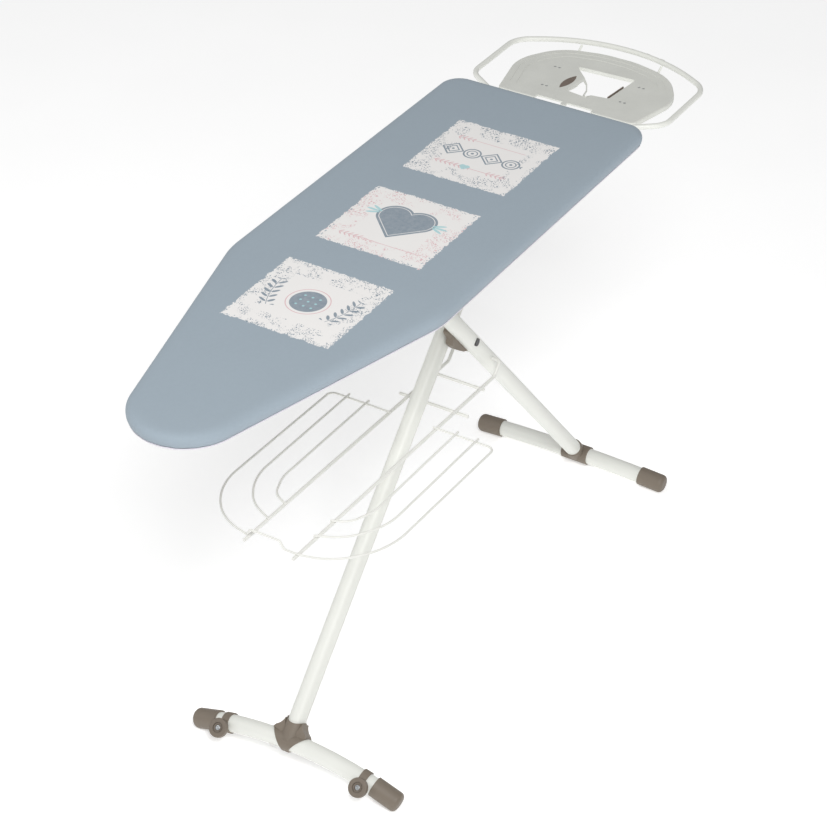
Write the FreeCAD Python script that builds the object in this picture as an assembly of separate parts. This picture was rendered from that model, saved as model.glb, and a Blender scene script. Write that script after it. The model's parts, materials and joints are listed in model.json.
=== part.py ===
import FreeCAD, Part
import math
import os

V = FreeCAD.Vector

# ---------------------------------------------------------------------------
# Driving dimensions, in millimetres and degrees.
# Row frame: origin on the floor under the middle of the whole object's box,
# +X towards the wide end and the iron rest, +Y across, +Z up.
# ---------------------------------------------------------------------------
BOARD_LENGTH = 1200.0
BOARD_WIDTH = 405.0
BOARD_TOP_Z = 908.5
NOSE_RADIUS = 93.0
TAPER_ANGLE = 15.0
KNEE_RADIUS = 150.0
WIDE_CORNER_RADIUS = 40.0

COVER_THICKNESS = 1.5
COVER_EDGE_RADIUS = 10.0
COVER_DEPTH = 26.0
HEM_WIDTH = 15.0
FELT_THICKNESS = 6.5
FELT_INSET = 6.0
FELT_EDGE_RADIUS = 4.0
MESH_THICKNESS = 1.2
RIM_INSET = 5.0
RIM_HEIGHT = 14.0
RIM_FLANGE = 12.0
RIM_EDGE_RADIUS = 5.0
SHEET_STEEL = 1.5

LEG_RADIUS = 16.0
LEG_WALL = 1.5
LEG_SIDE_OFFSET = 18.0
PIVOT_X = -326.4
PIVOT_Z = 595.2
FRONT_FOOT_X = -878.0
FRONT_FOOT_Y = -11.0
FRONT_HUB_Y = 3.0
FRONT_HUB_Z = 50.0
REAR_FOOT_X = 171.2
REAR_FOOT_Y = 11.0
REAR_HUB_Y = -3.0
REAR_HUB_Z = 23.5
CROSSBAR_Z = 850.0
CROSSBAR_RISE = 24.0
CROSSBAR_RADIUS = 6.0
CROSSBAR_HALF = 104.0

FOOT_TUBE_HALF = 186.0
FOOT_CAP_END = 213.0
FOOT_CAP_LENGTH = 54.0
FOOT_CAP_RADIUS = 18.5
FRONT_ARCH_RADIUS = 600.0
REAR_ARCH_RADIUS = 3100.0

RAIL_Y = 97.0
RAIL_THICKNESS = 2.5
RAIL_BOTTOM_Z = 831.0
SLOT_HALF_HEIGHT = 10.5
RUNNER_RADIUS = 7.2

WHEEL_RADIUS = 17.5
WHEEL_WIDTH = 9.0
WHEEL_Y = 145.0
WHEEL_CLIP_Y = 140.0
WHEEL_OUT = 25.4
WHEEL_DOWN = 14.0
AXLE_RADIUS = 3.0

BASKET_TILT = 2.0
BASKET_HOOK_ALONG = 124.0
BASKET_DROP = 22.7
ROD_RADIUS = 3.2
WIRE_RADIUS = 2.1
WELD_SINK = 0.15

LOOP_RADIUS = 5.0
LOOP_Z = 878.0
LOOP_HALF_WIDTH = 198.0
LOOP_BACK_X = 226.0
LOOP_APEX_X = 298.0
TRAY_TOP_Z = 869.0
TRAY_PLATE = 3.5
TRAY_RIM_DEPTH = 9.0
HANGER_WIRE_RADIUS = 2.0
HANGER_CREST = 12.0
HANGER_DROP = 4.0

FIT_GAP = 0.05
CLEAR_GAP = 0.3

# ---------------------------------------------------------------------------
# Places worked out from the driving dimensions.
# ---------------------------------------------------------------------------
REST_REACH = LOOP_APEX_X + LOOP_RADIUS + HANGER_CREST
WIDE_END_X = (BOARD_LENGTH - REST_REACH) / 2.0
COVER_BOTTOM_Z = BOARD_TOP_Z - COVER_DEPTH
MESH_TOP_Z = BOARD_TOP_Z - COVER_THICKNESS - FELT_THICKNESS
RIM_TOP_Z = MESH_TOP_Z - MESH_THICKNESS
RIM_BOTTOM_Z = RIM_TOP_Z - RIM_HEIGHT
CROSS_MEMBER_Z = RIM_BOTTOM_Z + SHEET_STEEL
CROSS_MEMBER_THICKNESS = 3.0
RAIL_TOP_Z = CROSS_MEMBER_Z

PIVOT = V(WIDE_END_X + PIVOT_X, 0, PIVOT_Z)
FRONT_HUB = V(WIDE_END_X + FRONT_FOOT_X, FRONT_HUB_Y, FRONT_HUB_Z)
FRONT_FOOT = V(FRONT_HUB.x, FRONT_FOOT_Y, FRONT_HUB_Z)
REAR_HUB = V(WIDE_END_X + REAR_FOOT_X, REAR_HUB_Y, REAR_HUB_Z)
REAR_FOOT = V(REAR_HUB.x, REAR_FOOT_Y, REAR_HUB_Z)
FRONT_ANGLE = math.atan2(PIVOT.z - FRONT_HUB.z, PIVOT.x - FRONT_HUB.x)
REAR_ANGLE = math.atan2(PIVOT.z - REAR_HUB.z, REAR_HUB.x - PIVOT.x)
CROSSBAR_HEIGHT = CROSSBAR_Z - PIVOT_Z


def upper_length(angle):
    """Distance along a leg from the crossing to the point under its crossbar."""
    return (CROSSBAR_HEIGHT - CROSSBAR_RISE * math.cos(angle)) / math.sin(angle)


FRONT_UPPER = upper_length(FRONT_ANGLE)
REAR_UPPER = upper_length(REAR_ANGLE)
FRONT_UP = V(math.cos(FRONT_ANGLE), 0, math.sin(FRONT_ANGLE))
FRONT_NORMAL = V(-math.sin(FRONT_ANGLE), 0, math.cos(FRONT_ANGLE))
REAR_UP = V(-math.cos(REAR_ANGLE), 0, math.sin(REAR_ANGLE))
REAR_NORMAL = V(math.sin(REAR_ANGLE), 0, math.cos(REAR_ANGLE))
FRONT_PIN = PIVOT + FRONT_UP * FRONT_UPPER + FRONT_NORMAL * CROSSBAR_RISE
REAR_PIN = PIVOT + REAR_UP * REAR_UPPER + REAR_NORMAL * CROSSBAR_RISE
FOLDED_REAR_PIN_X = FRONT_PIN.x - FRONT_UPPER - REAR_UPPER
Y_AXIS = V(0, 1, 0)
Z_AXIS = V(0, 0, 1)


# ---------------------------------------------------------------------------
# Shape helpers.
# ---------------------------------------------------------------------------
def save(shape, node):
    """Write one node and say how large it is."""
    if not shape.isValid():
        print("INVALID", node)
    shape.exportStep("parts/" + node + ".step")
    print("%-22s solids %2d  volume %9.1f" % (node, len(shape.Solids), shape.Volume))


def rod(start, end, radius):
    """Round bar from start to end."""
    axis = end - start
    return Part.makeCylinder(radius, axis.Length, start, axis)


def tube(start, end, outer, inner):
    """Round tube from start to end."""
    return rod(start, end, outer).cut(rod(start, end, inner))


def box(low, high):
    """Block between two opposite corners."""
    size = high - low
    return Part.makeBox(size.x, size.y, size.z, low)


def arc_corner(before, corner, after, radius):
    """Tangent points and middle of the arc that rounds one corner."""
    to_before = (before - corner).normalize()
    to_after = (after - corner).normalize()
    half = to_before.getAngle(to_after) / 2.0
    reach = radius / math.tan(half)
    centre = corner + (to_before + to_after).normalize() * (radius / math.sin(half))
    middle = centre + (corner - centre).normalize() * radius
    return corner + to_before * reach, middle, corner + to_after * reach


def rounded_wire(points, radii, closed=False):
    """Straight runs through the points, with each corner rounded to its radius."""
    count = len(points)
    corners = range(count) if closed else range(1, count - 1)
    arcs = {}
    for index in corners:
        before = points[index - 1]
        after = points[(index + 1) % count]
        radius = radii[index] if closed else radii[index - 1]
        if radius > 0:
            arcs[index] = arc_corner(V(before), V(points[index]), V(after), radius)
    edges = []
    last = count if closed else count - 1
    for index in range(last):
        following = (index + 1) % count
        start = arcs[index][2] if index in arcs else points[index]
        end = arcs[following][0] if following in arcs else points[following]
        if (end - start).Length > 1e-4:
            edges.append(Part.LineSegment(start, end).toShape())
        if following in arcs:
            edges.append(Part.Arc(*arcs[following]).toShape())
    return Part.Wire(Part.__sortEdges__(edges)) if closed else Part.Wire(edges)


def swept_bar(path, radius):
    """Round bar along a smooth path."""
    edge = path.OrderedEdges[0]
    start = edge.valueAt(edge.FirstParameter)
    tangent = edge.tangentAt(edge.FirstParameter)
    if edge.Orientation == "Reversed":
        start = edge.valueAt(edge.LastParameter)
        tangent = edge.tangentAt(edge.LastParameter) * -1
    section = Part.Wire(Part.makeCircle(radius, start, tangent))
    bar = path.makePipe(Part.Face(section))
    return Part.Solid(bar.Shells[0]) if not bar.Solids else bar.Solids[0]


def prism(wire, low_z, high_z):
    """Vertical prism over a flat outline that is drawn at height zero."""
    face = Part.Face(wire)
    face.translate(V(0, 0, low_z))
    return face.extrude(V(0, 0, high_z - low_z))


def round_edges_at(solid, height, radius):
    """Round the edges that lie at one height."""
    edges = [e for e in solid.Edges if abs(e.BoundBox.ZMin - height) < 1e-3 and e.BoundBox.ZLength < 1e-3]
    return solid.makeFillet(radius, edges)


def along_profile(points, normal, thickness):
    """Plate with a polygonal outline, extruded both ways from its middle plane."""
    face = Part.Face(Part.makePolygon(points + [points[0]]))
    face.translate(normal * (-thickness / 2.0))
    return face.extrude(normal * thickness)


def one_node(shapes):
    """Several separate solids that share one node."""
    return Part.makeCompound([solid for shape in shapes for solid in shape.Solids])


def mirrored(shape):
    """The same shape on the other side of the middle plane."""
    return shape.mirror(V(0, 0, 0), Y_AXIS)


# ---------------------------------------------------------------------------
# Board: cover, felt, perforated top, rim, cross-members and rails.
# ---------------------------------------------------------------------------
def board_outline(inset):
    """Plan outline of the board, drawn at height zero."""
    taper = math.radians(TAPER_ANGLE)
    apex_x = WIDE_END_X - BOARD_LENGTH + NOSE_RADIUS - NOSE_RADIUS / math.sin(taper)
    half = BOARD_WIDTH / 2.0
    knee_x = apex_x + half / math.tan(taper)
    points = [
        V(WIDE_END_X, half, 0),
        V(WIDE_END_X, -half, 0),
        V(knee_x, -half, 0),
        V(apex_x, 0, 0),
        V(knee_x, half, 0),
    ]
    radii = [WIDE_CORNER_RADIUS, WIDE_CORNER_RADIUS, KNEE_RADIUS, NOSE_RADIUS, KNEE_RADIUS]
    wire = rounded_wire(points, radii, closed=True)
    return wire.makeOffset2D(-inset) if inset else wire


def cover():
    """Fabric cover: top, side skirt and the hem turned in under the rim."""
    outer = prism(board_outline(0), COVER_BOTTOM_Z, BOARD_TOP_Z)
    inner_top = BOARD_TOP_Z - COVER_THICKNESS
    inner_bottom = COVER_BOTTOM_Z + COVER_THICKNESS
    inner = prism(board_outline(COVER_THICKNESS), inner_bottom, inner_top)
    for height in (BOARD_TOP_Z, COVER_BOTTOM_Z):
        outer = round_edges_at(outer, height, COVER_EDGE_RADIUS)
    for height in (inner_top, inner_bottom):
        inner = round_edges_at(inner, height, COVER_EDGE_RADIUS - COVER_THICKNESS)
    mouth = prism(board_outline(HEM_WIDTH), COVER_BOTTOM_Z - 1, COVER_BOTTOM_Z + COVER_THICKNESS + 1)
    return outer.cut(inner).cut(mouth)


def felt_pad():
    """Felt underlay that lies on the perforated top."""
    top_z = BOARD_TOP_Z - COVER_THICKNESS - CLEAR_GAP
    pad = prism(board_outline(FELT_INSET), MESH_TOP_Z, top_z)
    return round_edges_at(pad, top_z, FELT_EDGE_RADIUS)


def hem_elastic():
    """Elastic cord in the inner edge of the cover's hem."""
    elastic_radius = 1.4
    path = board_outline(HEM_WIDTH + elastic_radius)
    path.translate(V(0, 0, COVER_BOTTOM_Z + COVER_THICKNESS / 2.0))
    return swept_bar(path, elastic_radius)


def mesh_top():
    """Steel top sheet with staggered rows of steam slots."""
    sheet = prism(board_outline(RIM_INSET), RIM_TOP_Z, MESH_TOP_Z)
    slot_length = 34.0
    slot_width = 9.0
    pitch_x = 60.0
    pitch_y = 22.0
    margin = 26.0
    limit = Part.Face(board_outline(margin + slot_length / 2.0))
    slots = []
    rows = int(BOARD_WIDTH / 2.0 / pitch_y)
    columns = int(BOARD_LENGTH / pitch_x) + 1
    for row in range(-rows, rows + 1):
        for column in range(columns):
            shift = pitch_x / 2.0 if row % 2 else 0.0
            x = WIDE_END_X - margin - shift - column * pitch_x
            y = row * pitch_y
            if limit.distToShape(Part.Vertex(x, y, 0))[0] < 1e-6:
                low = V(x - slot_length / 2.0, y - slot_width / 2.0, RIM_TOP_Z - 1)
                high = V(x + slot_length / 2.0, y + slot_width / 2.0, MESH_TOP_Z + 1)
                slots.append(box(low, high))
    return sheet.cut(Part.makeCompound(slots))


def rim_frame():
    """Rolled C-section rim that carries the top sheet."""
    outer = prism(board_outline(RIM_INSET), RIM_BOTTOM_Z, RIM_TOP_Z)
    outer = round_edges_at(outer, RIM_BOTTOM_Z, RIM_EDGE_RADIUS)
    channel = prism(board_outline(RIM_INSET + SHEET_STEEL), RIM_BOTTOM_Z + SHEET_STEEL, RIM_TOP_Z - SHEET_STEEL)
    channel = round_edges_at(channel, RIM_BOTTOM_Z + SHEET_STEEL, RIM_EDGE_RADIUS - SHEET_STEEL)
    middle = prism(board_outline(RIM_INSET + RIM_FLANGE), RIM_BOTTOM_Z - 1, RIM_TOP_Z + 1)
    return outer.cut(channel).cut(middle)


CROSS_MEMBER_X = [WIDE_END_X - 55.0, WIDE_END_X - 330.0, WIDE_END_X - 600.0, WIDE_END_X - 800.0]
CROSS_MEMBER_WIDTH = 30.0


def cross_members():
    """Flat bars welded across inside the rim."""
    inside = prism(board_outline(RIM_INSET + RIM_EDGE_RADIUS), CROSS_MEMBER_Z,
                   CROSS_MEMBER_Z + CROSS_MEMBER_THICKNESS)
    bars = []
    for x in CROSS_MEMBER_X:
        low = V(x - CROSS_MEMBER_WIDTH / 2.0, -BOARD_WIDTH, CROSS_MEMBER_Z - 1)
        high = V(x + CROSS_MEMBER_WIDTH / 2.0, BOARD_WIDTH, CROSS_MEMBER_Z + CROSS_MEMBER_THICKNESS + 1)
        bars.append(inside.common(box(low, high)))
    return one_node(bars)


def slide_rail():
    """Rail on the -Y side: front-leg pivot hole at one end, runner slot at the other."""
    end_margin = 28.0
    flange = 16.0
    low_x = FOLDED_REAR_PIN_X - end_margin
    high_x = FRONT_PIN.x + end_margin
    outer_y = -RAIL_Y - RAIL_THICKNESS / 2.0
    inner_y = -RAIL_Y + RAIL_THICKNESS / 2.0
    web = box(V(low_x, outer_y, RAIL_BOTTOM_Z), V(high_x, inner_y, RAIL_TOP_Z))
    top = box(V(low_x, inner_y, RAIL_TOP_Z - RAIL_THICKNESS), V(high_x, inner_y + flange, RAIL_TOP_Z))
    slot_half = SLOT_HALF_HEIGHT
    slot_low = V(FOLDED_REAR_PIN_X, outer_y - 1, CROSSBAR_Z - slot_half)
    slot_high = V(REAR_PIN.x, inner_y + 1, CROSSBAR_Z + slot_half)
    slot = box(slot_low, slot_high)
    for x in (FOLDED_REAR_PIN_X, REAR_PIN.x):
        slot = slot.fuse(rod(V(x, outer_y - 1, CROSSBAR_Z), V(x, inner_y + 1, CROSSBAR_Z), slot_half))
    hole = rod(V(FRONT_PIN.x, outer_y - 1, CROSSBAR_Z), V(FRONT_PIN.x, inner_y + 1, CROSSBAR_Z),
               CROSSBAR_RADIUS + FIT_GAP)
    return web.fuse(top).cut(slot).cut(hole).removeSplitter()


def rail_rivets():
    """Rivets that hold both rails up to the cross-members."""
    head_radius = 4.5
    head_height = 1.8
    rivet_y = RAIL_Y - 9.0
    rivets = []
    for x in CROSS_MEMBER_X[1:3]:
        for side in (-1, 1):
            bottom = RAIL_TOP_Z - RAIL_THICKNESS
            rivets.append(rod(V(x, side * rivet_y, bottom - head_height), V(x, side * rivet_y, bottom), head_radius))
    return one_node(rivets)


# ---------------------------------------------------------------------------
# Height lever: rack, grip, bracket and pin.
# ---------------------------------------------------------------------------
LEVER_Y = 0.0
LEVER_THICKNESS = 3.0
LEVER_PIN_RADIUS = 3.0
LEVER_Z = 873.0
LEVER_BAR_LOW = LEVER_Z - 4.0
LEVER_BAR_HIGH = LEVER_Z + 4.0
LEVER_PIN = V(CROSS_MEMBER_X[1], LEVER_Y, LEVER_Z)
LEVER_GRIP_X = WIDE_END_X - 42.0


def height_lever():
    """Flat bar with the rack teeth at its nose end."""
    rack_low = LEVER_Z - 12.5
    tooth_tip = 10.0
    tooth_foot = 22.0
    tooth_pitch = 40.0
    tooth_count = 5
    rack_start = REAR_PIN.x + 14.0
    rack_end = rack_start - tooth_pitch * tooth_count
    points = [
        V(LEVER_GRIP_X, 0, LEVER_BAR_HIGH),
        V(LEVER_GRIP_X, 0, LEVER_BAR_LOW),
        V(rack_start, 0, LEVER_BAR_LOW),
    ]
    for index in range(tooth_count):
        x = rack_start - tooth_pitch * index
        points.append(V(x, 0, rack_low))
        points.append(V(x - tooth_tip, 0, rack_low))
        points.append(V(x - tooth_foot, 0, LEVER_BAR_LOW))
        points.append(V(x - tooth_pitch, 0, LEVER_BAR_LOW))
    points.append(V(rack_end, 0, LEVER_BAR_HIGH))
    plate = along_profile([p + V(0, LEVER_Y, 0) for p in points], Y_AXIS, LEVER_THICKNESS)
    pin_hole = rod(LEVER_PIN - Y_AXIS * 5, LEVER_PIN + Y_AXIS * 5, LEVER_PIN_RADIUS + FIT_GAP)
    return plate.cut(pin_hole)


def lever_grip():
    """Plastic T-grip on the lever's wide-end tip."""
    half_length = 46.0
    grip_radius = 6.0
    edge_radius = 2.5
    centre = V(LEVER_GRIP_X + 4.0, LEVER_Y, LEVER_Z)
    grip = rod(centre - Y_AXIS * half_length, centre + Y_AXIS * half_length, grip_radius)
    grip = grip.makeFillet(edge_radius, [e for e in grip.Edges if e.Curve.TypeId == "Part::GeomCircle"])
    slot = box(V(LEVER_GRIP_X - 20, LEVER_Y - LEVER_THICKNESS / 2.0, LEVER_BAR_LOW),
               V(LEVER_GRIP_X, LEVER_Y + LEVER_THICKNESS / 2.0, LEVER_BAR_HIGH))
    return grip.cut(slot)


def lever_bracket():
    """U-bracket under the second cross-member that carries the lever pin."""
    cheek = 2.0
    gap = 3.2
    half_length = 12.0
    low_z = LEVER_PIN.z - 7.0
    low = V(LEVER_PIN.x - half_length, LEVER_Y - gap - cheek, low_z)
    high = V(LEVER_PIN.x + half_length, LEVER_Y + gap + cheek, CROSS_MEMBER_Z)
    inside_low = V(low.x - 1, LEVER_Y - gap, low_z - 1)
    inside_high = V(high.x + 1, LEVER_Y + gap, CROSS_MEMBER_Z - 1.5)
    hole = rod(LEVER_PIN - Y_AXIS * 20, LEVER_PIN + Y_AXIS * 20, LEVER_PIN_RADIUS)
    return box(low, high).cut(box(inside_low, inside_high)).cut(hole)


def lever_pin():
    """Pin of the lever, riveted over at both ends."""
    shank_half = 7.0
    head_radius = 4.6
    shank = rod(LEVER_PIN - Y_AXIS * shank_half, LEVER_PIN + Y_AXIS * shank_half, LEVER_PIN_RADIUS)
    for side in (-1, 1):
        start = LEVER_PIN + Y_AXIS * (side * 5.2)
        shank = shank.fuse(rod(start, start + Y_AXIS * (side * 1.8), head_radius))
    return shank


# ---------------------------------------------------------------------------
# Iron rest at the wide end.
# ---------------------------------------------------------------------------
LOOP_RADIUS_OF_BACK = (LOOP_HALF_WIDTH ** 2 + (LOOP_APEX_X - LOOP_BACK_X) ** 2) / (2 * (LOOP_APEX_X - LOOP_BACK_X))
LOOP_CENTRE_X = WIDE_END_X + LOOP_APEX_X - LOOP_RADIUS_OF_BACK
LOOP_TAIL_Z = 869.5
LOOP_TAIL_INNER = V(WIDE_END_X + 2.0, 88.0, LOOP_TAIL_Z)
LOOP_TAIL_END = V(WIDE_END_X - 92.0, 70.0, LOOP_TAIL_Z)
SUPPORT_WIRE_Y = 84.0


def loop_back_point(y, beyond, z):
    """Point on the back arc of the loop, or a distance beyond it."""
    radius = LOOP_RADIUS_OF_BACK + beyond
    return V(LOOP_CENTRE_X + math.sqrt(radius ** 2 - y ** 2), y, z)


def rest_loop():
    """Bent tube round the iron rest, with both tails under the board."""
    side_front_x = 70.0
    back_bend = 50.0
    front_bend = 36.0
    tail_bend = 40.0
    corner_back = V(WIDE_END_X + LOOP_BACK_X, LOOP_HALF_WIDTH, LOOP_Z)
    corner_front = V(WIDE_END_X + side_front_x, LOOP_HALF_WIDTH, LOOP_Z)
    # The back arc meets the side bar at a corner, and that corner is rounded.
    blend_angle = math.asin(LOOP_HALF_WIDTH / LOOP_RADIUS_OF_BACK)
    start_angle = blend_angle - math.radians(9.0)
    arc_start = V(LOOP_CENTRE_X + LOOP_RADIUS_OF_BACK * math.cos(start_angle),
                  LOOP_RADIUS_OF_BACK * math.sin(start_angle), LOOP_Z)
    tangent = V(math.sin(start_angle), -math.cos(start_angle), 0)
    meet = arc_start - tangent * ((LOOP_HALF_WIDTH - arc_start.y) / math.cos(start_angle))
    arc_end = V(arc_start.x, -arc_start.y, LOOP_Z)
    apex = V(WIDE_END_X + LOOP_APEX_X, 0, LOOP_Z)
    side = rounded_wire([LOOP_TAIL_END, LOOP_TAIL_INNER, corner_front, meet, arc_start],
                        [tail_bend, front_bend, back_bend])
    back = Part.Arc(arc_start, apex, arc_end).toShape()
    near_side = (arc_start, meet, corner_front, LOOP_TAIL_INNER, LOOP_TAIL_END)
    other = [V(p.x, -p.y, p.z) for p in near_side]
    far_side = rounded_wire(other, [back_bend, front_bend, tail_bend])
    path = Part.Wire(side.Edges + [back] + far_side.Edges)
    return swept_bar(path, LOOP_RADIUS)


def rest_support_wires():
    """Two wires under the tray, hooked under the back of the loop."""
    wire_radius = 2.2
    wire_bend = 9.0
    wire_z = TRAY_TOP_Z - TRAY_PLATE - wire_radius - 0.1
    under_tail = LOOP_Z - LOOP_RADIUS - wire_radius
    hook = loop_back_point(SUPPORT_WIRE_Y, -1.0, under_tail + 0.1)
    rise = 13.0
    start = V(WIDE_END_X + 18.0, SUPPORT_WIRE_Y, wire_z)
    bend = V(hook.x - rise, SUPPORT_WIRE_Y, wire_z)
    bar = swept_bar(rounded_wire([start, bend, hook], [wire_bend]), wire_radius)
    return one_node([bar, mirrored(bar)])


def hanger_wire():
    """Wavy wire along the outside of the loop's back, for clothes hangers."""
    humps = 5
    crest_bend = 9.0
    half_span = 84.0
    span_middle = -10.0
    low = math.sqrt((LOOP_RADIUS + HANGER_WIRE_RADIUS - 0.1) ** 2 - HANGER_DROP ** 2)
    high = LOOP_RADIUS + HANGER_CREST - HANGER_WIRE_RADIUS
    z = LOOP_Z - HANGER_DROP
    points = []
    steps = humps * 2
    for index in range(steps + 1):
        y = span_middle + half_span - index * (2.0 * half_span / steps)
        points.append(loop_back_point(y, low if index % 2 == 0 else high, z))
    return swept_bar(rounded_wire(points, [crest_bend] * (steps - 1)), HANGER_WIRE_RADIUS)


def rest_clamps():
    """Saddle clamps that hold the loop's tails under the first cross-member."""
    clamp_width = 24.0
    clamp_length = 22.0
    centre_x = CROSS_MEMBER_X[0]
    floor_thickness = 2.0
    # The tail runs inwards towards its end; this is its place under the bar.
    tail = LOOP_TAIL_END - LOOP_TAIL_INNER
    at = LOOP_TAIL_INNER + tail * ((centre_x - LOOP_TAIL_INNER.x) / tail.x)
    run = V(tail).normalize()
    low_z = LOOP_TAIL_Z - LOOP_RADIUS - floor_thickness
    low = V(centre_x - clamp_length / 2.0, at.y - clamp_width / 2.0, low_z)
    high = V(centre_x + clamp_length / 2.0, at.y + clamp_width / 2.0, CROSS_MEMBER_Z)
    clamp = box(low, high).cut(rod(at - run * 40, at + run * 40, LOOP_RADIUS + FIT_GAP))
    return one_node([clamp, mirrored(clamp)])


def tray_outline(inset):
    """Plan outline of the tray, drawn at height zero."""
    front_x = WIDE_END_X + 59.0
    widest_x = WIDE_END_X + 178.0
    shoulder_x = WIDE_END_X + 258.0
    back_x = WIDE_END_X + 279.0
    half = [V(front_x, -139.0, 0), V(widest_x, -166.0, 0), V(shoulder_x, -117.0, 0), V(back_x, -34.0, 0)]
    points = half + [V(p.x, -p.y, 0) for p in reversed(half)]
    radii = [12.0, 85.0, 100.0, 150.0, 150.0, 100.0, 85.0, 12.0]
    wire = rounded_wire(points, radii, closed=True)
    return wire.makeOffset2D(-inset) if inset else wire


def tray_window():
    """Opening of the tray; its +Y side bulges into the opening."""
    origin_x = WIDE_END_X
    back_left = V(origin_x + 210.0, 54.0, 0)
    back_right = V(origin_x + 216.0, -65.0, 0)
    front_right = V(origin_x + 126.0, -56.0, 0)
    front_left = V(origin_x + 119.0, -8.0, 0)
    bulge_back = V(origin_x + 164.0, 8.0, 0)
    bulge_tip = V(origin_x + 143.0, -3.0, 0)
    points = [back_left, back_right, front_right, front_left, bulge_tip, bulge_back]
    return rounded_wire(points, [4.0, 4.0, 4.0, 4.0, 6.0, 24.0], closed=True)


LEAF_START = V(WIDE_END_X + 118.0, 42.0, 0)
LEAF_END = V(WIDE_END_X + 174.0, 36.0, 0)
LEAF_HALF_WIDTH = 8.0


def leaf_outline(grow):
    """Pointed oval of the grip insert, drawn at height zero."""
    run = (LEAF_END - LEAF_START).normalize()
    side = V(-run.y, run.x, 0)
    start = LEAF_START - run * grow
    end = LEAF_END + run * grow
    middle = (start + end) * 0.5
    half = LEAF_HALF_WIDTH + grow
    left = Part.Arc(start, middle + side * half, end).toShape()
    right = Part.Arc(end, middle - side * half, start).toShape()
    return Part.Wire([left, right])


def rest_tray():
    """Moulded tray: rim, stepped plate, window, scoop and front tabs."""
    plate_z = TRAY_TOP_Z - TRAY_PLATE
    body = prism(tray_outline(0), TRAY_TOP_Z - TRAY_RIM_DEPTH, TRAY_TOP_Z)
    body = round_edges_at(body, TRAY_TOP_Z, 3.0)
    wall = 3.0
    hollow = prism(tray_outline(wall), TRAY_TOP_Z - TRAY_RIM_DEPTH - 1, plate_z)
    # The hollow under the plate leaves a collar round the window and a floor under the scoop.
    collar = prism(tray_window().makeOffset2D(2.5), TRAY_TOP_Z - TRAY_RIM_DEPTH, plate_z)
    scoop_floor = prism(leaf_outline(9.0), TRAY_TOP_Z - TRAY_RIM_DEPTH, plate_z)
    body = body.cut(hollow).fuse([collar, scoop_floor])
    body = body.cut(prism(tray_window(), 800.0, 900.0))
    back_only = box(V(WIDE_END_X + 92.0, -200, TRAY_TOP_Z - 5), V(WIDE_END_X + 400.0, 200, TRAY_TOP_Z + 5))
    for inset, depth in ((14.0, 0.8), (27.0, 1.5)):
        body = body.cut(prism(tray_outline(inset), TRAY_TOP_Z - depth, TRAY_TOP_Z + 1).common(back_only))
    # Scoop beside the grip insert, sloping down to the window.
    scoop = Part.makeCylinder(60.0, 70.0, V(WIDE_END_X + 112.0, 4.0, TRAY_TOP_Z + 53.0), V(1, -0.15, 0))
    scoop_limit = box(V(WIDE_END_X + 100, -30, TRAY_TOP_Z - 7.5), V(WIDE_END_X + 182, 27, TRAY_TOP_Z + 1))
    body = body.cut(scoop.common(scoop_limit))
    body = body.cut(prism(leaf_outline(0.05), TRAY_TOP_Z - 4.5, TRAY_TOP_Z + 1))
    # Slots in the front and back rims for the support wires.
    slot_half = 2.6
    slot_low_z = TRAY_TOP_Z - TRAY_RIM_DEPTH - 1
    for side in (-1, 1):
        for start_x, end_x in ((200.0, 290.0), (50.0, 66.0)):
            low = V(WIDE_END_X + start_x, side * SUPPORT_WIRE_Y - slot_half, slot_low_z)
            high = V(WIDE_END_X + end_x, side * SUPPORT_WIRE_Y + slot_half, plate_z)
            body = body.cut(box(low, high))
    # Front edge: recessed in the middle, with two small tabs.
    recess = box(V(WIDE_END_X + 50, -62, 840), V(WIDE_END_X + 70, 62, 900))
    body = body.cut(recess)
    for y in (4.0, -58.0):
        tab = box(V(WIDE_END_X + 60, y - 5, plate_z), V(WIDE_END_X + 71, y + 5, TRAY_TOP_Z))
        body = body.fuse(tab)
    for point in screw_places():
        body = body.cut(rod(point - Z_AXIS * 2.0, point + Z_AXIS * 5, 2.55))
    return body.removeSplitter()


def screw_places():
    """Places of the eight small screws, in four pairs, at the tray's top."""
    pair_gap = 9.0
    places = []
    for x, y in ((188.0, 84.0), (112.0, 70.0), (194.0, -88.0), (126.0, -84.0)):
        for side in (-0.5, 0.5):
            places.append(V(WIDE_END_X + x, y + side * pair_gap, TRAY_TOP_Z - 1.5))
    return places


def tray_screws():
    """Small pan heads sunk in the tray."""
    return one_node([rod(p - Z_AXIS * 1.9, p - Z_AXIS * 0.4, 2.5) for p in screw_places()])


def tray_leaf_insert():
    """Pointed-oval rubber insert let into the tray."""
    return prism(leaf_outline(0), TRAY_TOP_Z - 4.4, TRAY_TOP_Z - 1.2)


def tray_edge_strip():
    """Rubber strip on the -Y edge of the window."""
    start = V(WIDE_END_X + 128.0, -53.9, TRAY_TOP_Z - 6.0)
    end = V(WIDE_END_X + 180.0, -59.1, TRAY_TOP_Z - 6.0)
    run = (end - start).normalize()
    side = V(-run.y, run.x, 0)
    corners = [start, end, end + side * 2.0, start + side * 2.0]
    face = Part.Face(Part.makePolygon(corners + [corners[0]]))
    return face.extrude(V(0, 0, 5.6))


# ---------------------------------------------------------------------------
# Legs, feet and their fittings.
# ---------------------------------------------------------------------------
def leg_point(hub, up, side_offset, distance):
    """Point on a leg's axis: it leans from its foot to its side offset at the crossing."""
    lower = math.hypot(PIVOT.x - hub.x, PIVOT.z - hub.z)
    return hub + up * distance + Y_AXIS * ((side_offset - hub.y) * distance / lower)


def front_leg_point(distance):
    """Point on the front leg's axis, measured up from its foot."""
    return leg_point(FRONT_HUB, FRONT_UP, LEG_SIDE_OFFSET, distance)


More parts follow.
